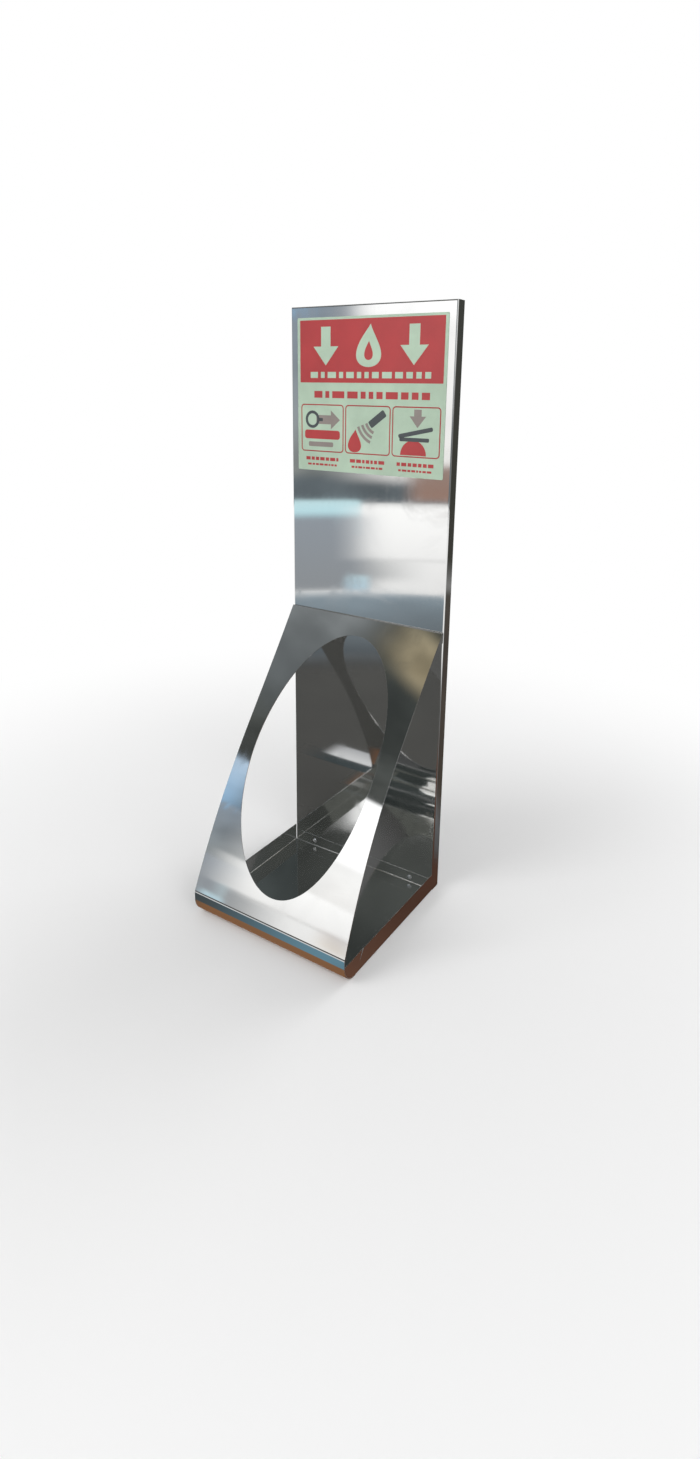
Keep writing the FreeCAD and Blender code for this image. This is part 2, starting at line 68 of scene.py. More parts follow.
class Wiring:
    """A node tree being wired up: adds nodes, fills their sockets and links them.

    Attributes:
        tree: the node tree.
        entry: a group's input node.
        exit: a group's output node.
    """

    def __init__(self, tree: bpy.types.NodeTree) -> None:
        """Keeps the tree and empties it."""
        self.tree = tree
        self.tree.nodes.clear()
        self.entry: Optional[bpy.types.Node] = None
        self.exit: Optional[bpy.types.Node] = None

    def add(self, kind: str, settings: Optional[dict[str, Any]] = None,
            **sockets: Any) -> bpy.types.Node:
        """Adds a node.

        Args:
            kind: Blender's name of the node type.
            settings: the node's own properties.
            **sockets: input sockets, with underscores for spaces; a value or a socket to link.

        Returns:
            The new node.
        """
        node = self.tree.nodes.new(kind)
        for key, value in (settings or {}).items():
            setattr(node, key, value)
        for key, value in sockets.items():
            self.feed(node, key.replace("_", " "), value)
        return node

    def feed(self, node: bpy.types.Node, name: str | int, value: Any) -> None:
        """Sets one input socket, or links it where the value is another node's socket.

        Args:
            node: the node that is fed.
            name: the socket's name or number.
            value: a constant, or a socket.
        """
        target = node.inputs[name]
        if isinstance(value, bpy.types.NodeSocket):
            self.tree.links.new(value, target)
        else:
            target.default_value = value

    def math(self, operation: str, *values: Any, clamp: bool = False) -> bpy.types.NodeSocket:
        """Adds a Math node in either kind of tree.

        Args:
            operation: the Math node's operation.
            *values: its inputs in order, constants or sockets.
            clamp: whether the result is kept from 0 to 1.

        Returns:
            The result's socket.
        """
        node = self.add("ShaderNodeMath", {"operation": operation, "use_clamp": clamp})
        for number, value in enumerate(values):
            self.feed(node, number, value)
        return node.outputs[0]

    def blend(self, factor: Any, first: Any, second: Any) -> bpy.types.NodeSocket:
        """Adds a colour Mix node.

        Args:
            factor: share of the second colour.
            first: colour or socket.
            second: colour or socket.

        Returns:
            The mixed colour's socket.
        """
        node = self.add("ShaderNodeMix", {"data_type": "RGBA"})
        for name, value in ((0, factor), (6, first), (7, second)):
            if isinstance(value, tuple):
                value = (*value, 1.0)
            self.feed(node, name, value)
        return node.outputs[2]

    def spread(self, value: Any, low: float, high: float, to_low: Any = 0.0,
               to_high: Any = 1.0) -> bpy.types.NodeSocket:
        """Adds a clamped Map Range node.

        Args:
            value: what is mapped.
            low: start of the range it comes from.
            high: end of that range.
            to_low: what low becomes.
            to_high: what high becomes.

        Returns:
            The mapped value's socket.
        """
        node = self.add("ShaderNodeMapRange", {"interpolation_type": "SMOOTHSTEP"})
        for number, entry in enumerate((value, low, high, to_low, to_high)):
            self.feed(node, number, entry)
        return node.outputs[0]

    def seen(self) -> bpy.types.NodeSocket:
        """Adds a test for rays that see a thing: straight, in a mirror or through a clear body.

        Returns:
            The socket, 1 for such a ray and else 0.
        """
        path = self.add("ShaderNodeLightPath").outputs
        either = self.math("ADD", path["Is Camera Ray"], path["Is Glossy Ray"])
        return self.math("ADD", either, path["Is Transmission Ray"], clamp=True)

    def end_mixed(self, factor: Any, first: bpy.types.Node, second: bpy.types.Node) -> None:
        """Ends a material in a mix of two shaders.

        Args:
            factor: share of the second shader.
            first: one shader node.
            second: the other.
        """
        mixed = self.add("ShaderNodeMixShader")
        for number, value in enumerate((factor, first.outputs[0], second.outputs[0])):
            self.feed(mixed, number, value)
        self.add("ShaderNodeOutputMaterial", Surface=mixed.outputs[0])

    def end_row(self, points: Any, instance: Any, **more: Any) -> None:
        """Ends a geometry group: one mesh on each point, made real, with the group's Finish.

        Args:
            points: the points.
            instance: the mesh.
            **more: other inputs of the node that places it.
        """
        placed = self.add("GeometryNodeInstanceOnPoints", Points=points, Instance=instance, **more)
        real = self.add("GeometryNodeRealizeInstances", Geometry=placed.outputs[0])
        done = self.add("GeometryNodeSetMaterial", Geometry=real.outputs[0],
                        Material=self.entry.outputs["Finish"])
        self.feed(self.exit, "Geometry", done.outputs[0])


def new_group(name: str, kind: str, inputs: Sequence[tuple], outputs: Sequence[tuple]) -> Wiring:
    """Starts a node group with named sockets.

    Args:
        name: the group's name.
        kind: "ShaderNodeTree" or "GeometryNodeTree".
        inputs: (name, socket type, default or None) of each input.
        outputs: (name, socket type) of each output.

    Returns:
        The wiring of the new group, with its Group Input and Group Output in place.
    """
    tree = bpy.data.node_groups.new(name, kind)
    wiring = Wiring(tree)
    for label, socket, default in inputs:
        entry = tree.interface.new_socket(name=label, in_out="INPUT", socket_type=socket)
        if default is not None:
            entry.default_value = default
    for label, socket in outputs:
        tree.interface.new_socket(name=label, in_out="OUTPUT", socket_type=socket)
    wiring.entry = wiring.add("NodeGroupInput")
    wiring.exit = wiring.add("NodeGroupOutput")
    return wiring


# Shared surface effects

FLOAT = "NodeSocketFloat"


class SurfaceEffects:
    """The shader node groups that more than one finish uses, each built once."""

    def __init__(self) -> None:
        """Builds the groups."""
        self.sheet_waves = self._sheet_waves()
        self.polish_haze = self._polish_haze()
        self.edge_line = self._edge_line()
        self.print_grain = self._print_grain()

    @staticmethod
    def _sheet_waves() -> bpy.types.NodeTree:
        """Slow swells of thin sheet, as a height in metres.

        Returns:
            A group with the output Height.
        """
        w = new_group("sheet_waves", "ShaderNodeTree",
                      [("Swell Scale", FLOAT, 7.0), ("Swell Height", FLOAT, 0.0003),
                       ("Ripple Scale", FLOAT, 26.0), ("Ripple Height", FLOAT, 0.00002)],
                      [("Height", FLOAT)])
        place = w.add("ShaderNodeTexCoord").outputs["Object"]
        heights = []
        for wave in ("Swell", "Ripple"):
            noise = w.add("ShaderNodeTexNoise", Vector=place, Detail=0.0, Roughness=0.4,
                          Scale=w.entry.outputs[f"{wave} Scale"])
            heights.append(w.math("MULTIPLY", noise.outputs[0],
                                  w.entry.outputs[f"{wave} Height"]))
        w.feed(w.exit, "Height", w.math("ADD", *heights))
        return w.tree

    @staticmethod
    def _polish_haze() -> bpy.types.NodeTree:
        """Faint polishing lines, wiped smears and dust on a polished face.

        Returns:
            A group with the outputs Haze, from 0 to 1, and Lines, from 0 to 1.
        """
        w = new_group("polish_haze", "ShaderNodeTree",
                      [("Smear Scale", FLOAT, 14.0), ("Line Scale", FLOAT, 900.0),
                       ("Line Stretch", FLOAT, 0.02)],
                      [("Haze", FLOAT), ("Lines", FLOAT)])
        place = w.add("ShaderNodeTexCoord").outputs["Object"]
        smear = w.add("ShaderNodeTexNoise", Vector=place, Scale=w.entry.outputs["Smear Scale"],
                      Detail=5.0, Roughness=0.62, Distortion=0.8)
        wiped = w.spread(smear.outputs[0], 0.50, 0.74)
        stretch = w.add("ShaderNodeCombineXYZ", X=1.0, Y=w.entry.outputs["Line Stretch"],
                        Z=w.entry.outputs["Line Stretch"])
        drawn = w.add("ShaderNodeVectorMath", {"operation": "MULTIPLY"})
        w.feed(drawn, 0, place)
        w.feed(drawn, 1, stretch.outputs[0])
        lines = w.add("ShaderNodeTexNoise", Vector=drawn.outputs[0],
                      Scale=w.entry.outputs["Line Scale"], Detail=3.0, Roughness=0.7)
        w.feed(w.exit, "Haze", wiped)
        w.feed(w.exit, "Lines", w.spread(lines.outputs[0], 0.35, 0.70))
        return w.tree

    @staticmethod
    def _edge_line() -> bpy.types.NodeTree:
        """Where a face runs close to an edge, found by rounding its normal.

        Returns:
            A group with the output Edge, from 0 on the face to 1 at its edge.
        """
        w = new_group("edge_line", "ShaderNodeTree", [("Width", FLOAT, 0.0006)],
                      [("Edge", FLOAT)])
        rounded = w.add("ShaderNodeBevel", {"samples": 6}, Radius=w.entry.outputs["Width"])
        face = w.add("ShaderNodeNewGeometry").outputs["Normal"]
        agree = w.add("ShaderNodeVectorMath", {"operation": "DOT_PRODUCT"})
        w.feed(agree, 0, rounded.outputs[0])
        w.feed(agree, 1, face)
        flat, sharp = 0.995, 0.86
        w.feed(w.exit, "Edge", w.spread(agree.outputs["Value"], flat, sharp))
        return w.tree

    @staticmethod
    def _print_grain() -> bpy.types.NodeTree:
        """The fine pigment grain of printed film, and its faint mottle.

        Returns:
            A group with the outputs Grain and Mottle, both from 0 to 1.
        """
        w = new_group("print_grain", "ShaderNodeTree",
                      [("Grain Scale", FLOAT, 2600.0), ("Mottle Scale", FLOAT, 22.0)],
                      [("Grain", FLOAT), ("Mottle", FLOAT)])
        place = w.add("ShaderNodeTexCoord").outputs["Object"]
        grain = w.add("ShaderNodeTexNoise", Vector=place, Scale=w.entry.outputs["Grain Scale"],
                      Detail=2.0, Roughness=0.6)
        mottle = w.add("ShaderNodeTexNoise", Vector=place, Detail=4.0, Roughness=0.6,
                       Scale=w.entry.outputs["Mottle Scale"])
        w.feed(w.exit, "Grain", grain.outputs[0])
        w.feed(w.exit, "Mottle", mottle.outputs[0])
        return w.tree


def new_material(name: str) -> tuple[bpy.types.Material, Wiring]:
    """Makes an empty node material.

    Args:
        name: the material's name.

    Returns:
        The material and its wiring.
    """
    material = bpy.data.materials.new(name)
    material.use_nodes = True
    return material, Wiring(material.node_tree)


def place_group(w: Wiring, tree: bpy.types.NodeTree, **values: Any) -> bpy.types.Node:
    """Places a shared effect in a material, with input values of its own."""
    return w.add("ShaderNodeGroup", {"node_tree": tree}, **values)


# Finishes of the stand

@dataclass(frozen=True)
class PolishedSheet:
    """Mirror-polished stainless sheet with ground cut edges.

    Attributes:
        name: the material's name.
        tone: colour of the polished face.
        edge_highlight_tone: colour of the ground edges, made lighter than the face as a painted
            highlight along them.
        polish: roughness of a clean face.
        haze: roughness that smears add.
        lines: roughness that polishing lines add.
        ground: roughness that the ground edges add.
        dulling: share of its tone that a smeared face keeps.
        swell: height in metres of the sheet's slow waves.
        swell_scale: waves in a metre.
        edge_width: how far the lighter edge reaches in, in metres.
        painted_deep_glow: a glow painted on the sheet in place of its reflections, where light has gone
            too often from sheet to sheet.
        deep_count: how many times light is followed from sheet to sheet.
    """

    name: str
    tone: Colour = (0.80, 0.80, 0.79)
    edge_highlight_tone: Colour = (0.93, 0.93, 0.92)
    polish: float = 0.035
    haze: float = 0.06
    lines: float = 0.018
    ground: float = 0.22
    dulling: float = 0.965
    swell: float = 0.00035
    swell_scale: float = 6.5
    edge_width: float = 0.0005
    painted_deep_glow: Colour = (0.10, 0.105, 0.10)
    deep_count: float = 3.5

    def material(self, effects: SurfaceEffects) -> bpy.types.Material:
        """Builds the finish.

        Args:
            effects: the shared node groups.

        Returns:
            The material.
        """
        material, w = new_material(self.name)
        # The painted glow below is not sampled as a light.
        material.cycles.emission_sampling = "NONE"
        haze = place_group(w, effects.polish_haze)
        waves = place_group(w, effects.sheet_waves, Swell_Height=self.swell,
                            Swell_Scale=self.swell_scale)
        edge = place_group(w, effects.edge_line, Width=self.edge_width).outputs["Edge"]
        dulled = tuple(self.dulling * part for part in self.tone)
        face = w.blend(haze.outputs["Haze"], self.tone, dulled)
        # The ground edges are rougher, and their lighter colour is a painted highlight along them.
        colour = w.blend(edge, face, self.edge_highlight_tone)
        smear = w.math("MULTIPLY", haze.outputs["Haze"], self.haze)
        drawn = w.math("MULTIPLY_ADD", haze.outputs["Lines"], self.lines, self.polish)
        rough = w.math("ADD", smear, drawn)
        rough = w.math("MULTIPLY_ADD", edge, self.ground, rough, clamp=True)
        bump = w.add("ShaderNodeBump", Strength=1.0, Distance=1.0,
                     Height=waves.outputs["Height"])
        # Past deep_count bounces from sheet to sheet the sheet glows: a painted glow of the
        # surroundings' mean tone, in place of the reflections that are no longer followed.
        path = w.add("ShaderNodeLightPath")
        too_deep = w.math("GREATER_THAN", path.outputs["Glossy Depth"], self.deep_count)
        shader = w.add("ShaderNodeBsdfPrincipled", Metallic=1.0, Base_Color=colour,
                       Roughness=rough, Normal=bump.outputs[0], Emission_Strength=1.0,
                       Emission_Color=w.blend(too_deep, (0.0, 0.0, 0.0), self.painted_deep_glow))
        w.add("ShaderNodeOutputMaterial", Surface=shader.outputs[0])
        return material


@dataclass(frozen=True)
class PlainRivet:
    """Satin aluminium of a blind rivet.

    Attributes:
        name: the material's name.
        tone: colour of the metal.
        worn: colour where the setting tool rubbed it.
        satin: roughness of the clean metal.
        haze: roughness that smears add.
    """

    name: str
    tone: Colour = (0.78, 0.79, 0.80)
    worn: Colour = (0.90, 0.90, 0.91)
    satin: float = 0.24
    haze: float = 0.16

    def material(self, effects: SurfaceEffects) -> bpy.types.Material:
        """Builds the finish.

        Args:
            effects: the shared node groups.

        Returns:
            The material.
        """
        material, w = new_material(self.name)
        haze = place_group(w, effects.polish_haze, Smear_Scale=180.0, Line_Scale=2400.0)
        edge = place_group(w, effects.edge_line, Width=0.0003).outputs["Edge"]
        colour = w.blend(edge, self.tone, self.worn)
        rough = w.math("MULTIPLY_ADD", haze.outputs["Haze"], self.haze, self.satin)
        bump = w.add("ShaderNodeBump", Strength=0.3, Distance=0.00005,
                     Height=haze.outputs["Lines"])
        shader = w.add("ShaderNodeBsdfPrincipled", Metallic=1.0, Base_Color=colour,
                       Roughness=rough, Normal=bump.outputs[0])
        w.add("ShaderNodeOutputMaterial", Surface=shader.outputs[0])
        return material


class InkColour(Enum):
    """The printed colours of the sign, and the film's own."""

    FILM = (0.43, 0.56, 0.43)
    RED = (0.43, 0.034, 0.036)
    PALE = (0.45, 0.585, 0.45)
    WARM_GREY = (0.26, 0.22, 0.20)
    DARK_GREY = (0.055, 0.065, 0.07)


@dataclass(frozen=True)
class PrintedFilm:
    """Luminous film or an ink on it, under a thin clear laminate.

    Attributes:
        name: the material's name.
        ink: its colour.
        grain: depth in metres of the pigment's grain.
        gloss: roughness of the surface under the laminate.
        mottle: roughness that the mottle adds.
        shade: share of the ink's colour in its darker mottle.
        spark: share of the ink's colour in its lighter grains.
        lift: what those grains have on top of it.
    """

    name: str
    ink: InkColour
    grain: float = 0.000012
    gloss: float = 0.42
    mottle: float = 0.12
    shade: float = 0.86
    spark: float = 1.08
    lift: float = 0.004

    def material(self, effects: SurfaceEffects) -> bpy.types.Material:
        """Builds the finish.

        Args:
            effects: the shared node groups.

        Returns:
            The material.
        """
        material, w = new_material(self.name)
        grain = place_group(w, effects.print_grain)
        darker = tuple(self.shade * part for part in self.ink.value)
        lighter = tuple(self.spark * part + self.lift for part in self.ink.value)
        mottled = w.blend(w.spread(grain.outputs["Mottle"], 0.3, 0.7), darker, self.ink.value)
        speckle = w.spread(grain.outputs["Grain"], 0.52, 0.75)
        colour = w.blend(speckle, mottled, lighter)
        rough = w.math("MULTIPLY_ADD", grain.outputs["Mottle"], self.mottle, self.gloss)
        bump = w.add("ShaderNodeBump", Strength=0.6, Distance=self.grain,
                     Height=grain.outputs["Grain"])
        shader = w.add("ShaderNodeBsdfPrincipled", Base_Color=colour, Roughness=rough,
                       Normal=bump.outputs[0], Coat_Weight=0.35, Coat_Roughness=0.12)
        w.add("ShaderNodeOutputMaterial", Surface=shader.outputs[0])
        return material


# Pieces and meshes

def linked(name: str, data: Any) -> bpy.types.Object:
    """Puts an object with this name and data in the scene.

    Args:
        name: the object's name.
        data: its mesh, light or camera.

    Returns:
        The object.
    """
    item = bpy.data.objects.new(name, data)
    bpy.context.scene.collection.objects.link(item)
    return item


def evaluated_mesh(name: str, tree: bpy.types.NodeTree, values: dict[str, Any]) -> bpy.types.Mesh:
    """Runs a geometry tree and keeps its result as a plain mesh.

    Args:
        name: name of the mesh.
        tree: the geometry node group.
        values: its named inputs.

    Returns:
        The finished mesh.
    """
    carrier = linked(name, bpy.data.meshes.new(name + "_seed"))
    modifier = carrier.modifiers.new("build", "NODES")
    modifier.node_group = tree
    for item in tree.interface.items_tree:
        if item.in_out == "INPUT" and item.name in values:
            modifier[item.identifier] = values[item.name]
    graph = bpy.context.evaluated_depsgraph_get()
    graph.update()
    mesh = bpy.data.meshes.new_from_object(carrier.evaluated_get(graph))
    mesh.name = name
    bpy.data.objects.remove(carrier)
    return mesh


def make_piece(name: str, parts: Sequence[tuple[bpy.types.Mesh, Matrix]],
               material: bpy.types.Material) -> None:
    """Joins meshes into one piece that rides on the stand and stays at the origin.

    Args:
        name: the piece's name.
        parts: each mesh and where it goes.
        material: the finish of them all.
    """
    joined = bmesh.new()
    for mesh, place in parts:
        start = len(joined.verts)
        joined.from_mesh(mesh)
        joined.verts.ensure_lookup_table()
        bmesh.ops.transform(joined, matrix=place, verts=joined.verts[start:])
        bpy.data.meshes.remove(mesh)
    bmesh.ops.recalc_face_normals(joined, faces=joined.faces)
    mesh = bpy.data.meshes.new(name)
    joined.to_mesh(mesh)
    joined.free()
    mesh.materials.append(material)
    piece = linked(name, mesh)
    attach(piece, BODY)
    LOG.info("%s: %d faces", name, len(mesh.polygons))


@dataclass
class FoldedSheets:
    """The back panel and the tray with its guard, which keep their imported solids.

    Attributes:
        panel: finish of the back panel.
        tray: finish of the tray and guard.
    """

    panel: PolishedSheet = PolishedSheet("polished_panel", swell=0.00022, swell_scale=6.0)
    tray: PolishedSheet = PolishedSheet("polished_tray", swell=0.00045, swell_scale=9.0)

    def dress(self, effects: SurfaceEffects) -> None:
        """Puts the polished finish on both folded sheets.

        Args:
            effects: the shared node groups.
        """
        for node, finish in (("back_panel", self.panel), ("tray_and_guard", self.tray)):
            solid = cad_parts[node]
            solid.material_slots[0].material = finish.material(effects)
            LOG.info("%s: %s", node, finish.name)


@dataclass
class RivetPair:
    """The two blind rivets in the tray's rear flange, with the stems left in their heads.

    Attributes:
        stem: radius of the broken stem.
        collar: radius of the rim that the head closes round it.
        rise: how far the stem stands out of the head.
        bite: how far behind the head's face its middle is.
        finish: the rivets' own finish.
        stem_finish: the finish of their stems.
    """

    stem: float = 0.9 * MM
    collar: float = 1.25 * MM
    rise: float = 0.22 * MM
    bite: float = 0.1 * MM
    finish: PlainRivet = PlainRivet("rivet_aluminium")
    stem_finish: PlainRivet = PlainRivet("rivet_steel", (0.52, 0.53, 0.54), (0.66, 0.66, 0.67))

    def _tree(self) -> bpy.types.NodeTree:
        """Builds the tree of a row of stems, each a stub inside a rolled rim.

        Returns:
            The geometry node group.
        """
        w = new_group("rivet_stem_row", "GeometryNodeTree",
                      [("Count", "NodeSocketInt", 2), ("Spread", FLOAT, 0.16),
                       ("Stem Radius", FLOAT, 0.0009), ("Rim Radius", FLOAT, 0.00125),
                       ("Rise", FLOAT, 0.0002), ("Finish", "NodeSocketMaterial", None)],
                      [("Geometry", "NodeSocketGeometry")])
        get = w.entry.outputs
        row = w.add("GeometryNodeMeshLine", {"mode": "END_POINTS"}, Count=get["Count"])
        half = w.math("MULTIPLY", get["Spread"], 0.5)
        back = w.math("MULTIPLY", get["Spread"], -0.5)
        w.feed(row, "Start Location", w.add("ShaderNodeCombineXYZ", X=back).outputs[0])
        w.feed(row, "Offset", w.add("ShaderNodeCombineXYZ", X=half).outputs[0])
        taper, bulge = 0.78, 0.8
        stub = w.add("GeometryNodeMeshCone", Vertices=20, Depth=get["Rise"],
                     Radius_Bottom=get["Stem Radius"],
                     Radius_Top=w.math("MULTIPLY", get["Stem Radius"], taper))
        ring = w.add("GeometryNodeCurvePrimitiveCircle", Resolution=28,
                     Radius=get["Rim Radius"])
        bead = w.add("GeometryNodeCurvePrimitiveCircle", Resolution=8,
                     Radius=w.math("MULTIPLY", get["Rise"], bulge))
        rim = w.add("GeometryNodeCurveToMesh", Curve=ring.outputs[0],
                    Profile_Curve=bead.outputs[0])
        both = w.add("GeometryNodeJoinGeometry")
        w.tree.links.new(stub.outputs["Mesh"], both.inputs[0])
        w.tree.links.new(rim.outputs[0], both.inputs[0])
        w.end_row(row.outputs[0], both.outputs[0])
        return w.tree

    def build(self, effects: SurfaceEffects) -> None:
        """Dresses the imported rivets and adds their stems.

        Args:
            effects: the shared node groups.
        """
        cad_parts["rear_rivets"].material_slots[0].material = self.finish.material(effects)
        low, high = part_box("rear_rivets")
        head = high.z - low.z
        steel = self.stem_finish.material(effects)
        mesh = evaluated_mesh("rivet_stems", self._tree(), {
            "Count": 2, "Spread": high.x - low.x - head, "Stem Radius": self.stem,
            "Rim Radius": self.collar, "Rise": self.rise, "Finish": steel})
        middle = ((low.x + high.x) / 2, low.y + self.bite, (low.z + high.z) / 2)
        place = Matrix.Translation(middle) @ UPRIGHT_TURN
        make_piece("rivet_stems", [(mesh, place)], steel)


# Outlines of the print, in millimetres on the sign: x to the right, z up

ARC_STEPS = 24
CORNER_STEPS = 5
DROP_STEPS = 48
DROP_FILL = 0.66
HEAD_SHARE = 0.6


def box_outline(x0: float, x1: float, z0: float, z1: float, corner: float) -> list[Point]:
    """A rectangle with rounded corners.

    Args:
        x0: left side.
        x1: right side.
        z0: lower side.
        z1: upper side.
        corner: radius of its corners.

    Returns:
        The outline, anticlockwise.
    """
    points = []
    for cx, cz, start in ((x1 - corner, z0 + corner, -90), (x1 - corner, z1 - corner, 0),
                          (x0 + corner, z1 - corner, 90), (x0 + corner, z0 + corner, 180)):
        points += arc_outline(cx, cz, corner, start, start + 90, CORNER_STEPS)
    return points


def arc_outline(cx: float, cz: float, radius: float, start: float, end: float,
                steps: int = ARC_STEPS) -> list[Point]:
    """Points along an arc, which closed make a corner or the part of a disc.

    Args:
        cx: middle, to the right.
        cz: middle, up.
        radius: its radius.
        start: first angle in degrees.
        end: last angle in degrees.
        steps: how many straight pieces it has.

    Returns:
        The points, from start to end.
    """
    angles = [math.radians(start + (end - start) * n / steps) for n in range(steps + 1)]
    return [(cx + radius * math.cos(a), cz + radius * math.sin(a)) for a in angles]


def band_outline(cx: float, cz: float, inner: float, outer: float, start: float,
                 end: float) -> list[Point]:
    """A curved band between two radii and two angles.

    Args:
        cx: middle, to the right.
        cz: middle, up.
        inner: inner radius.
        outer: outer radius.
        start: first angle in degrees.
        end: last angle in degrees.

    Returns:
        The outline, anticlockwise.
    """
    return arc_outline(cx, cz, outer, start, end) + arc_outline(cx, cz, inner, end, start)


def drop_outline(cx: float, cz: float, width: float, height: float,
                 lean: float = 0.0) -> list[Point]:
    """A drop with its point up, as a plain flame.

    Args:
        cx: middle, to the right.
        cz: middle, up.
        width: its width.
        height: its height.
        lean: how far its point leans to the right.

    Returns:
        The outline, anticlockwise.
    """
    points = []
    for n in range(DROP_STEPS):
        t = 2 * math.pi * n / DROP_STEPS
        side = -math.sin(t) * math.sin(t / 2) ** 1.5
        rise = math.cos(t)
        points.append((cx + DROP_FILL * width * side + lean * max(0.0, rise) ** 2,
                       cz + height / 2 * rise))
    return points


def arrow_outline(cx: float, cz: float, length: float, shaft: float, head: float,
                  turn: float) -> list[Point]:
    """A block arrow.

    Args:
        cx: middle, to the right.
        cz: middle, up.
        length: from tail to tip.
        shaft: width of the shaft.
        head: width of the head, of which its length is a fixed share.
        turn: its direction in degrees, 0 to the right and 90 up.

    Returns:
        The outline, anticlockwise.
    """
    neck = length / 2 - HEAD_SHARE * head
    flat = [(-length / 2, -shaft / 2), (neck, -shaft / 2), (neck, -head / 2),
            (length / 2, 0.0), (neck, head / 2), (neck, shaft / 2), (-length / 2, shaft / 2)]
    return turned([(cx + x, cz + z) for x, z in flat], cx, cz, turn)


def turned(outline: Sequence[Point], cx: float, cz: float, turn: float) -> list[Point]:
    """Turns an outline about a point.

    Args:
        outline: the points.
        cx: centre of the turn, to the right.
        cz: centre of the turn, up.
        turn: degrees, anticlockwise.

    Returns:
        The turned outline.
    """
    c, s = math.cos(math.radians(turn)), math.sin(math.radians(turn))
    return [(cx + c * (x - cx) - s * (z - cz), cz + s * (x - cx) + c * (z - cz))
            for x, z in outline]


@dataclass
class SignPrint:
    """The print on the luminous sheet: a red field, framed fields and plain shapes.

    Attributes:
        ink: thickness of one layer of print, in metres.
        header: red field, as left, right, lower and upper side in millimetres.
        frame_low: lower side of the framed fields.
        frame_high: upper side of the framed fields.
        frame_width: width of each framed field.
        frame_pitch: distance between the middles of two framed fields.
        frame_line: width of their outlines.
        frame_rise: how far the middle of those outlines is in front of the sheet, in layers.
        sunk: how far the print reaches into the sheet, in layers.
        film: finish of the sheet.
        inks: the finish of each ink.
        front: where the sheet's face is.
    """

    ink: float = 0.05 * MM
    header: tuple[float, float, float, float] = (-101.0, 101.0, 660.7, 734.0)
    frame_low: float = 576.8
    frame_high: float = 634.0
    frame_width: float = 63.6
    frame_pitch: float = 67.4
    frame_line: float = 1.4
    frame_rise: float = 0.15
    sunk: float = 0.4
    film: PrintedFilm = PrintedFilm("luminous_film", InkColour.FILM)
    inks: dict[InkColour, bpy.types.Material] = field(default_factory=dict)
    front: float = 0.0

    def build(self, effects: SurfaceEffects) -> None:
        """Dresses the sign sheet and prints it.

        Args:
            effects: the shared node groups.
        """
        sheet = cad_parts["sign_sheet"]
        sheet.material_slots[0].material = self.film.material(effects)
        self.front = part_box("sign_sheet")[0].y
        for ink in (InkColour.RED, InkColour.PALE, InkColour.WARM_GREY, InkColour.DARK_GREY):
            finish = PrintedFilm(f"print_{ink.name.lower()}", ink)
            self.inks[ink] = finish.material(effects)
        self._print("print_header_field", InkColour.RED, [box_outline(*self.header, 0.6)], 1)
        self._print("print_header_shapes", InkColour.PALE, self._header_shapes(), 2)
        self._print("print_header_heart", InkColour.RED, [drop_outline(0, 698.0, 13, 22, 0.7)], 3)
        self._print_frames()
        for ink, layer, shapes in self._framed_shapes():
            self._print(f"print_shapes_{ink.name.lower()}", ink, shapes, layer)
        self._print_dashes()

    @staticmethod
    def _header_shapes() -> list[list[Point]]:
        """The pale shapes on the red field: a flame between two arrows that point down.

        Returns:
            Their outlines.
        """
        flame = drop_outline(0, 703.5, 38, 49, 2.8)
        arrows = [arrow_outline(x, 703.5, 45, 14, 37, -90) for x in (-62, 62)]
        return [flame, *arrows]

    def _framed_shapes(self) -> list[tuple[InkColour, int, list[list[Point]]]]:
        """The plain shapes in the three framed fields, by colour.

        Returns:
            For each colour its ink, its layer and its outlines.
        """
        left, middle, right = self._middles()
        warm = [arrow_outline(left + 9, 616, 36, 11, 23, 0),
                arrow_outline(right + 2, 621, 21, 10, 22, -90),
                box_outline(left - 21, left + 17, 582.5, 588.5, 1.8),
                *[band_outline(middle + 16, 620, r, r + 3.6, 200, 248)
                  for r in (17, 23.2, 29.4)]]
        dark = [band_outline(left - 15, 616, 7.2, 10.8, 0, 359.9),
                box_outline(left - 5.0, left + 1, 614.0, 618.0, 0.8),
                turned(box_outline(middle + 1, middle + 27, 614.5, 623.5, 1.8),
                       middle + 14, 619, 36),
                turned(box_outline(right - 24, right + 23, 602.5, 607.5, 2.0), right, 605, 12),
                box_outline(right - 22, right + 18, 594.5, 599, 1.6)]
        red = [box_outline(left - 27, left + 27, 592.0, 603.0, 3.5),
               drop_outline(middle - 18.5, 592, 21, 28, 1.6),
               arc_outline(right - 3, 578.5, 17.5, 0, 180)]
        return [(InkColour.WARM_GREY, 1, warm), (InkColour.DARK_GREY, 2, dark),
                (InkColour.RED, 1, red)]

    def _middles(self) -> tuple[float, float, float]:
        """The middles of the framed fields, in millimetres to the right."""
        return -self.frame_pitch, 0.0, self.frame_pitch

    def _plate(self, outline: Sequence[Point], layer: int) -> bpy.types.Mesh:
        """One printed shape as a closed thin plate.

        Args:
            outline: its points in millimetres on the sign.
            layer: how many layers of print it stands out.

        Returns:
            The mesh, in place.
        """
        shape = bmesh.new()
        under = self.front + self.sunk * self.ink
        over = self.front - layer * self.ink
        rings = [[shape.verts.new((x * MM, y, z * MM)) for x, z in outline]
                 for y in (under, over)]
        shape.faces.new(rings[0])
        shape.faces.new(rings[1])
        for n, start in enumerate(rings[0]):
            after = (n + 1) % len(outline)
            shape.faces.new((start, rings[0][after], rings[1][after], rings[1][n]))
        mesh = bpy.data.meshes.new("plate")
        shape.to_mesh(mesh)
        shape.free()
        return mesh

    def _print(self, name: str, ink: InkColour, outlines: Sequence[Sequence[Point]],
               layer: int) -> None:
        """Prints shapes of one colour as one piece.

        Args:
            name: the piece's name.
            ink: its colour.
            outlines: the shapes.
            layer: how many layers of print they stand out.
        """
        parts = [(self._plate(outline, layer), Matrix.Identity(4)) for outline in outlines]
        make_piece(name, parts, self.inks[ink])

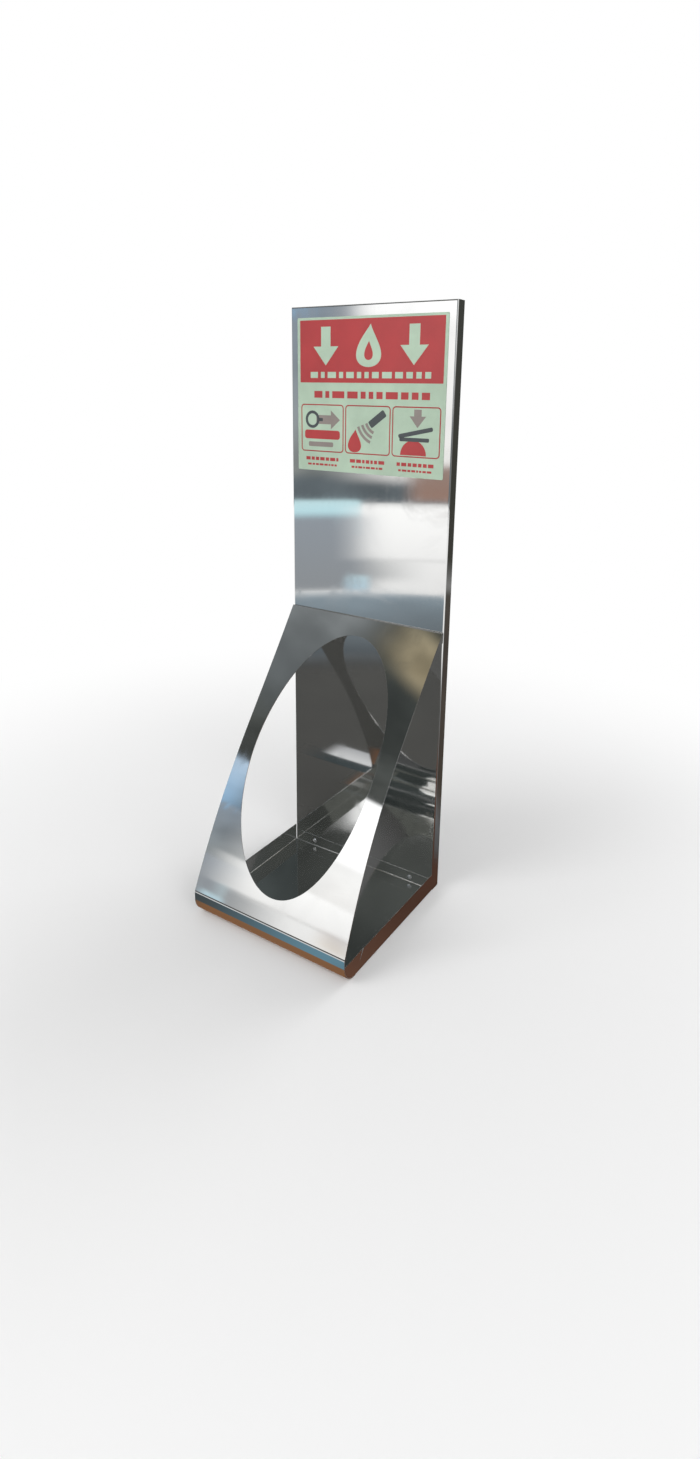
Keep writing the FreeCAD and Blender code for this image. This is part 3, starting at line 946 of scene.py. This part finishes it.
    def _on_sign(self, x: float, z: float, rise: float) -> Matrix:
        """Turns a flat tree's result upright and sets it on the sign.

        Args:
            x: middle, to the right, in millimetres.
            z: middle, up, in millimetres.
            rise: how far its middle is in front of the sheet, in layers of print.

        Returns:
            The matrix.
        """
        spot = (x * MM, self.front - rise * self.ink, z * MM)
        return Matrix.Translation(spot) @ UPRIGHT_TURN

    def _print_frames(self) -> None:
        """Prints the outlines of the three framed fields."""
        w = new_group("framed_field_row", "GeometryNodeTree",
                      [("Count", "NodeSocketInt", 3), ("Pitch", FLOAT, 0.067),
                       ("Width", FLOAT, 0.063), ("Height", FLOAT, 0.057),
                       ("Corner", FLOAT, 0.004), ("Line", FLOAT, 0.001),
                       ("Ink", FLOAT, 0.0001), ("Finish", "NodeSocketMaterial", None)],
                      [("Geometry", "NodeSocketGeometry")])
        get = w.entry.outputs
        row = w.add("GeometryNodeMeshLine", {"mode": "OFFSET"}, Count=get["Count"])
        w.feed(row, "Offset", w.add("ShaderNodeCombineXYZ", X=get["Pitch"]).outputs[0])
        outline = w.add("GeometryNodeCurvePrimitiveQuadrilateral", Width=get["Width"],
                        Height=get["Height"])
        rounded = w.add("GeometryNodeFilletCurve", {"mode": "POLY"}, Curve=outline.outputs[0],
                        Count=6, Radius=get["Corner"])
        upright = w.add("GeometryNodeSetCurveNormal", {"mode": "Z_UP"}, Curve=rounded.outputs[0])
        section = w.add("GeometryNodeCurvePrimitiveQuadrilateral", Width=get["Line"],
                        Height=get["Ink"])
        line = w.add("GeometryNodeCurveToMesh", Curve=upright.outputs[0],
                     Profile_Curve=section.outputs[0])
        w.end_row(row.outputs[0], line.outputs[0])
        red = self.inks[InkColour.RED]
        mesh = evaluated_mesh("print_frames", w.tree, {
            "Count": 3, "Pitch": self.frame_pitch * MM, "Width": self.frame_width * MM,
            "Height": (self.frame_high - self.frame_low) * MM, "Corner": 4 * MM,
            "Line": self.frame_line * MM, "Ink": (1 + self.sunk) * self.ink, "Finish": red})
        place = self._on_sign(-self.frame_pitch, (self.frame_low + self.frame_high) / 2,
                              self.frame_rise)
        make_piece("print_frames", [(mesh, place)], red)

    @staticmethod
    def _dash_tree() -> bpy.types.NodeTree:
        """Builds the tree of a line of dashes of uneven length, as a plain stand-in for print.

        Returns:
            The geometry node group.
        """
        w = new_group("dashed_line", "GeometryNodeTree",
                      [("Count", "NodeSocketInt", 6), ("Length", FLOAT, 0.1),
                       ("Height", FLOAT, 0.004), ("Gap", FLOAT, 0.002),
                       ("Ink", FLOAT, 0.0001), ("Seed", "NodeSocketInt", 1),
                       ("Finish", "NodeSocketMaterial", None)],
                      [("Geometry", "NodeSocketGeometry")])
        get = w.entry.outputs
        points = w.add("GeometryNodePoints", Count=get["Count"])
        share = w.add("FunctionNodeRandomValue", {"data_type": "FLOAT"}, Seed=get["Seed"])
        for number, limit in ((2, 0.55), (3, 1.7)):
            w.feed(share, number, limit)
        summed = w.add("GeometryNodeAccumulateField", {"data_type": "FLOAT"})
        w.feed(summed, 0, share.outputs[1])
        gaps = w.math("MULTIPLY", w.math("SUBTRACT", get["Count"], 1), get["Gap"])
        unit = w.math("DIVIDE", w.math("SUBTRACT", get["Length"], gaps),
                      summed.outputs["Total"])
        width = w.math("MULTIPLY", share.outputs[1], unit)
        start = w.math("MULTIPLY", summed.outputs["Trailing"], unit)
        middle = w.math("MULTIPLY_ADD", width, 0.5, start)
        index = w.add("GeometryNodeInputIndex").outputs[0]
        along = w.math("MULTIPLY_ADD", index, get["Gap"], middle)
        centred = w.math("MULTIPLY_ADD", get["Length"], -0.5, along)
        spot = w.add("ShaderNodeCombineXYZ", X=centred)
        laid = w.add("GeometryNodeSetPosition", Geometry=points.outputs[0],
                     Position=spot.outputs[0])
        size = w.add("ShaderNodeCombineXYZ", X=width, Y=get["Height"], Z=get["Ink"])
        dash = w.add("GeometryNodeMeshCube")
        w.end_row(laid.outputs[0], dash.outputs["Mesh"], Scale=size.outputs[0])
        return w.tree

    def _print_dashes(self) -> None:
        """Prints the lines of dashes: one on the red field, one below it, two under each frame."""
        tree = self._dash_tree()
        lines = {
            ("print_header_dashes", InkColour.PALE, 2): [(0, 669.8, 170, 7.2, 13, 4.6, 4)],
            ("print_title_dashes", InkColour.RED, 1): [(2.5, 646.5, 164, 8.2, 11, 4.4, 9)],
            ("print_caption_dashes", InkColour.RED, 1): [
                (x, z, length, height, count, gap, seed + number)
                for number, x in enumerate(self._middles())
                for z, length, height, count, gap, seed in
                ((567.4, 50, 4.2, 7, 1.8, 20), (560.2, 45, 2.5, 8, 1.4, 40))],
        }
        for (name, ink, layer), rows in lines.items():
            thickness = (layer + self.sunk) * self.ink
            parts = []
            for x, z, length, height, count, gap, seed in rows:
                mesh = evaluated_mesh("dashes", tree, {
                    "Count": count, "Length": length * MM, "Height": height * MM,
                    "Gap": gap * MM, "Ink": thickness, "Seed": seed,
                    "Finish": self.inks[ink]})
                parts.append((mesh, self._on_sign(x, z, (layer - self.sunk) / 2)))
            make_piece(name, parts, self.inks[ink])


# Studio

class CardPose(Enum):
    """How a card is held: upright round the stand, or on the floor as a sector or a strip."""

    UPRIGHT = "upright"
    SECTOR = "sector"
    STRIP = "strip"


@dataclass(frozen=True)
class Card:
    """A glowing card near the stand that shows only in its reflections.

    Attributes:
        name: the card's name.
        across: from and to: degrees, 0 in front and 90 to the right, or a strip's x in metres.
        span: from and to, in metres: heights, a sector's distances or a strip's y.
        low: its colour at the lower or nearer side.
        high: its colour at the other side.
        distance: how far off it stands, or how high it lies, in metres.
        feather: shares of across and of span over which its edges fade.
        cover: how much it hides of what is behind it.
        streak: how unevenly it is lit, from 0.
        pose: how it is held.
        grid: how many faces it has along across and along span.
    """

    name: str
    across: tuple[float, float]
    span: tuple[float, float]
    low: Colour
    high: Colour
    distance: float = 3.2
    feather: tuple[float, float] = (0.12, 0.12)
    cover: float = 1.0
    streak: float = 0.0
    pose: CardPose = CardPose.UPRIGHT
    grid: tuple[int, int] = (36, 2)

    def _corner(self, wide: float, along: float) -> tuple[float, float, float]:
        """A point of the card.

        Args:
            wide: share of across.
            along: share of span.

        Returns:
            The point in metres.
        """
        side = self.across[0] + (self.across[1] - self.across[0]) * wide
        reach = self.span[0] + (self.span[1] - self.span[0]) * along
        if self.pose is CardPose.STRIP:
            return side, reach, self.distance
        turn = math.radians(side)
        upright = self.pose is CardPose.UPRIGHT
        out, height = (self.distance, reach) if upright else (reach, self.distance)
        return out * math.sin(turn), -out * math.cos(turn), height

    def build(self) -> None:
        """Makes the card and its glowing finish."""
        columns, rows = self.grid
        mesh = bpy.data.meshes.new(self.name)
        shape = bmesh.new()
        layer = shape.loops.layers.uv.new("card")
        verts = [[shape.verts.new(self._corner(n / columns, m / rows))
                  for n in range(columns + 1)] for m in range(rows + 1)]
        for m in range(rows):
            for n in range(columns):
                spots = ((m, n), (m, n + 1), (m + 1, n + 1), (m + 1, n))
                face = shape.faces.new([verts[a][b] for a, b in spots])
                for loop, (a, b) in zip(face.loops, spots):
                    loop[layer].uv = (b / columns, a / rows)
        shape.to_mesh(mesh)
        shape.free()
        mesh.materials.append(self._finish())
        card = linked(self.name, mesh)
        for ray in ("camera", "diffuse", "shadow", "transmission"):
            setattr(card, f"visible_{ray}", False)

    def _finish(self) -> bpy.types.Material:
        """The card's glow, which fades at its edges.

        Returns:
            The material.
        """
        material, w = new_material(self.name)
        uv = w.add("ShaderNodeUVMap", {"uv_map": "card"}).outputs[0]
        place = w.add("ShaderNodeSeparateXYZ", Vector=uv)
        cover: Any = self.cover
        for axis, feather in enumerate(self.feather):
            if feather > 0.0:
                inside = w.math("PINGPONG", place.outputs[axis], 0.5)
                cover = w.math("MULTIPLY", w.spread(inside, 0.0, feather), cover)
        colour = w.blend(place.outputs[1], self.low, self.high)
        uneven = w.add("ShaderNodeTexNoise", Scale=1.6, Detail=3.0, Roughness=0.55,
                       Vector=w.add("ShaderNodeTexCoord").outputs["Object"])
        level = w.spread(uneven.outputs[0], 0.3, 0.7, 1.0 - self.streak, 1.0 + self.streak)
        glow = w.add("ShaderNodeEmission", Color=colour, Strength=level)
        clear = w.add("ShaderNodeBsdfTransparent")
        w.end_mixed(cover, clear, glow)
        return material


CARDS: tuple[Card, ...] = (
    Card("wall_front", (-130, 60), (0.0, 5.0), (0.15, 0.18, 0.2), grey(0.12), 3.6, (0.0, 0.0),
         streak=0.3),
    Card("wall_rear", (60, 195), (0.0, 5.0), grey(0.2), grey(0.55), 3.6, (0.0, 0.0), streak=0.3),
    Card("wall_left", (195, 230), (0.0, 5.0), (0.06, 0.07, 0.07), (0.06, 0.07, 0.07), 3.6, (0.0, 0.0),
         streak=0.3),
    Card("ceiling", (-90, 90), (-3.7, 3.7), (0.13, 0.135, 0.14), grey(0.2), 4.95, (0.0, 0.05),
         streak=0.3, pose=CardPose.SECTOR),
    Card("dim_band", (-90, 50), (1.7, 4.6), (0.09, 0.095, 0.09), (0.04, 0.05, 0.05), 3.4, (0.08, 0.06),
         streak=0.3),
    Card("dim_glow", (-75, -41), (2.3, 4.2), (0.16, 0.18, 0.19), (0.3, 0.32, 0.33), 3.3, (0.25, 0.3),
         streak=0.3),
    Card("cool_left", (-72, -31), (0.17, 1.12), (0.29, 0.31, 0.3), (0.25, 0.3, 0.36),
         feather=(0.1, 0.08), streak=0.3),
    Card("sky_left", (-68, -36), (0.97, 1.72), (0.26, 0.46, 0.68), (0.5, 0.63, 0.78),
         feather=(0.15, 0.09), streak=0.2),
    Card("window_left", (-38, -6), (0.15, 1.92), (0.95, 0.94, 0.92), (1.3, 1.31, 1.33), 3.1,
         (0.28, 0.04), streak=0.12),
    Card("window_upper", (-35.5, -8), (0.95, 1.92), (1.3, 1.3, 1.31), (1.45, 1.46, 1.48), 3.05,
         (0.12, 0.08), streak=0.1),
    Card("window_right", (35, 62), (0.45, 1.6), grey(0.95), (1.25, 1.26, 1.28), 3.1, (0.2, 0.1),
         streak=0.15),
    Card("high_front", (-46, 30), (3.2, 3.95), (0.44, 0.37, 0.24), (0.38, 0.33, 0.22), 3.1,
         (0.12, 0.35), streak=0.4),
    Card("soft_right", (66, 112), (0.6, 3.2), grey(0.8), grey(1.2), 3.1, streak=0.1),
    Card("soft_rear", (146, 186), (0.9, 3.0), grey(0.9), grey(1.2), 3.1, streak=0.1),
    Card("cool_patch", (-43, -33.5), (0.01, 0.19), (0.45, 0.82, 0.95), (0.7, 0.95, 1.0), 2.4,
         (0.1, 0.12)),
    Card("warm_patch", (-30, -20), (0.16, 0.36), (0.36, 0.22, 0.17), (0.36, 0.27, 0.24), 2.4,
         (0.25, 0.2)),
    Card("low_left", (-62, -30), (-0.02, 0.27), (0.32, 0.34, 0.36), (0.34, 0.38, 0.43), 1.5,
         (0.2, 0.12)),
    Card("low_window", (-37, 8), (-0.02, 0.12), grey(0.95), grey(1.05), 1.45, (0.27, 0.1)),
    Card("low_window_top", (-39, 8), (0.105, 0.305), grey(1.05), grey(1.25), 1.44, (0.2, 0.12)),
    Card("low_cyan", (-37.5, -33), (0.01, 0.075), (0.42, 0.66, 0.84), (0.68, 0.88, 0.94), 1.43,
         (0.35, 0.3), 0.8, 0.2),
    Card("low_cream", (-24, -17), (0.03, 0.15), (1.0, 0.9, 0.76), (0.76, 0.72, 0.74), 1.43,
         (0.45, 0.35), 0.75, 0.2),
    Card("flag_right", (144, 166), (0.0, 1.5), (0.05, 0.048, 0.04), (0.06, 0.065, 0.06), 1.3,
         (0.15, 0.15)),
    Card("grey_floor", (-62, -8), (1.55, 2.2), (0.17, 0.2, 0.22), grey(0.6), 0.0005, (0.15, 0.3), 0.8,
         0.2, CardPose.SECTOR),
    Card("near_floor", (-62, 10), (0.7, 1.55), (0.05, 0.055, 0.06), (0.27, 0.35, 0.41), 0.0004,
         (0.15, 0.2), 0.95, 0.2, CardPose.SECTOR),
    Card("dark_floor", (-90, 90), (-1.0, 1.0), (0.04, 0.04, 0.036), (0.04, 0.04, 0.036), 0.0001,
         (0.0, 0.12), 0.94, 0.3, CardPose.SECTOR),
    Card("grey_floor_rear", (95, 265), (0.1, 2.6), (0.1, 0.1, 0.105), (0.8, 0.81, 0.82), 0.00015,
         (0.12, 0.12), 0.95, 0.2, CardPose.SECTOR),
    Card("dark_floor_rear", (143, 167), (0.0, 1.9), (0.06, 0.045, 0.035), (0.06, 0.05, 0.04), 0.0002,
         (0.15, 0.1), 0.95, 0.2, CardPose.SECTOR),
    Card("tan_floor", (-0.16, 0.16), (-0.15, -0.08), (0.24, 0.12, 0.055), (0.2, 0.095, 0.05), 0.0003,
         (0.15, 0.08), 0.95, 0.2, CardPose.STRIP),
    Card("blue_floor", (-0.3, 0.2), (-0.172, -0.133), (0.06, 0.07, 0.075), (0.05, 0.065, 0.07), 0.00035,
         (0.2, 0.06), 0.97, 0.2, CardPose.STRIP),
    Card("pale_floor", (-0.16, 0.3), (-0.172, -0.133), (0.14, 0.27, 0.35), (0.13, 0.26, 0.34), 0.0004,
         (0.6, 0.06), 0.97, 0.2, CardPose.STRIP),
    Card("crease_glow", (-0.26, 0.12), (-0.205, -0.158), (0.45, 0.46, 0.48), (0.78, 0.79, 0.8), 0.00043,
         (0.1, 0.08), 0.95, 0.1, CardPose.STRIP),
    Card("brown_floor", (0.108, 0.5), (-0.3, 0.2), (0.12, 0.06, 0.04), (0.095, 0.045, 0.03), 0.00045,
         (0.02, 0.12), 0.95, 0.3, CardPose.STRIP),
)


@dataclass(frozen=True)
class Lamp:
    """A large soft lamp.

    Attributes:
        name: its name.
        place: where it stands, in metres.
        size: length of its side, in metres.
        power: watts.
        target: what it is aimed at, in metres.
    """

    name: str
    place: tuple[float, float, float]
    size: float
    power: float
    target: tuple[float, float, float] = (0.0, 0.0, 0.38)

    def build(self) -> None:
        """Makes the lamp."""
        light = bpy.data.lights.new(self.name, "AREA")
        light.size = self.size
        light.energy = self.power
        lamp = linked(self.name, light)
        lamp.location = self.place
        aim = Vector(self.target) - Vector(self.place)
        lamp.rotation_mode = "QUATERNION"
        lamp.rotation_quaternion = aim.to_track_quat("-Z", "Y")
        lamp.visible_glossy = False


@dataclass(frozen=True)
class FittedCamera:
    """The camera that sees the stand as the photograph does.

    Attributes:
        place: its position in metres.
        yaw: turn to the left of straight ahead, in radians.
        pitch: tilt down, in radians.
        roll: turn about its own axis, in radians.
        focal: focal length in pixels of the photograph.
        centre: where its axis meets the photograph, in pixels.
        size: width and height of the photograph in pixels.
    """

    place: tuple[float, float, float] = (0.51776, -0.72453, 0.65258)
    yaw: float = 0.564
    pitch: float = 0.280
    roll: float = -0.015
    focal: float = 776.5
    centre: Point = (362.6, 613.3)
    size: tuple[int, int] = (700, 1459)

    def build(self) -> None:
        """Makes the camera and gives it to the scene."""
        forward = Vector((-math.sin(self.yaw) * math.cos(self.pitch),
                          math.cos(self.yaw) * math.cos(self.pitch), -math.sin(self.pitch)))
        level = Vector((math.cos(self.yaw), math.sin(self.yaw), 0.0))
        down = forward.cross(level)
        c, s = math.cos(self.roll), math.sin(self.roll)
        right = c * level + s * down
        up = s * level - c * down
        data = bpy.data.cameras.new("camera")
        data.sensor_width = 36.0
        data.lens = self.focal / self.size[1] * data.sensor_width
        data.shift_x = (self.size[0] / 2 - self.centre[0]) / self.size[1]
        data.shift_y = (self.centre[1] - self.size[1] / 2) / self.size[1]
        camera = linked("camera", data)
        camera.matrix_world = Matrix.Translation(self.place) @ Matrix(
            (right, up, -forward)).transposed().to_4x4()
        bpy.context.scene.camera = camera


@dataclass
class Studio:
    """The pale floor, the white surroundings, the lamps, the cards and the camera.

    Attributes:
        floor_size: side of the floor in metres.
        floor_tone: colour of the floor.
        fade: distances between which the floor turns white.
        ambient: level of the world's light on the stand.
        camera: the camera.
        lamps: the lamps.
        cards: the cards that the metal mirrors.
    """

    floor_size: float = 24.0
    floor_tone: Colour = grey(0.87)
    fade: tuple[float, float] = (0.25, 1.1)
    ambient: float = 0.55
    camera: FittedCamera = FittedCamera()
    lamps: tuple[Lamp, ...] = (
        Lamp("key_lamp", (-1.4, -2.2, 2.1), 1.6, 38.0),
        Lamp("fill_lamp", (2.2, -1.2, 1.5), 1.4, 18.0),
        Lamp("rear_lamp", (0.6, 2.2, 2.2), 1.4, 20.0),
    )
    cards: tuple[Card, ...] = CARDS

    def _floor(self) -> None:
        """Makes the floor: pale, shadowed by the stand, and white further off."""
        material, w = new_material("floor")
        place = w.add("ShaderNodeTexCoord").outputs["Object"]
        away = w.add("ShaderNodeVectorMath", {"operation": "LENGTH"})
        w.feed(away, 0, place)
        far = w.spread(away.outputs["Value"], *self.fade)
        near = w.add("ShaderNodeBsdfDiffuse", Color=(*self.floor_tone, 1.0))
        white = w.add("ShaderNodeEmission", Color=(1.0, 1.0, 1.0, 1.0), Strength=1.0)
        w.end_mixed(w.math("MULTIPLY", far, w.seen()), near, white)
        half = self.floor_size / 2
        mesh = bpy.data.meshes.new("floor")
        mesh.from_pydata([(-half, -half, 0), (half, -half, 0), (half, half, 0), (-half, half, 0)],
                         [], [(0, 1, 2, 3)])
        mesh.materials.append(material)
        linked("floor", mesh)

    def _world(self) -> None:
        """Makes the world: white where it is seen, and a plain level of light elsewhere."""
        world = bpy.data.worlds.new("studio")
        world.use_nodes = True
        w = Wiring(world.node_tree)
        level = w.math("MULTIPLY_ADD", w.seen(), 1.0 - self.ambient, self.ambient)
        glow = w.add("ShaderNodeBackground", Color=(1.0, 1.0, 1.0, 1.0), Strength=level)
        w.add("ShaderNodeOutputWorld", Surface=glow.outputs[0])
        bpy.context.scene.world = world

    def build(self) -> None:
        """Makes the whole studio."""
        self._floor()
        self._world()
        for item in (*self.lamps, *self.cards):
            item.build()
        self.camera.build()
        bpy.context.scene.view_settings.view_transform = "Standard"
        LOG.info("studio: %d lamps, %d cards", len(self.lamps), len(self.cards))


def main() -> None:
    """Builds the finishes, the print and the studio."""
    logging.basicConfig(level=logging.INFO, format="%(name)s: %(message)s")
    effects = SurfaceEffects()
    FoldedSheets().dress(effects)
    RivetPair().build(effects)
    SignPrint().build(effects)
    Studio().build()


if __name__ == "__main__":
    main()
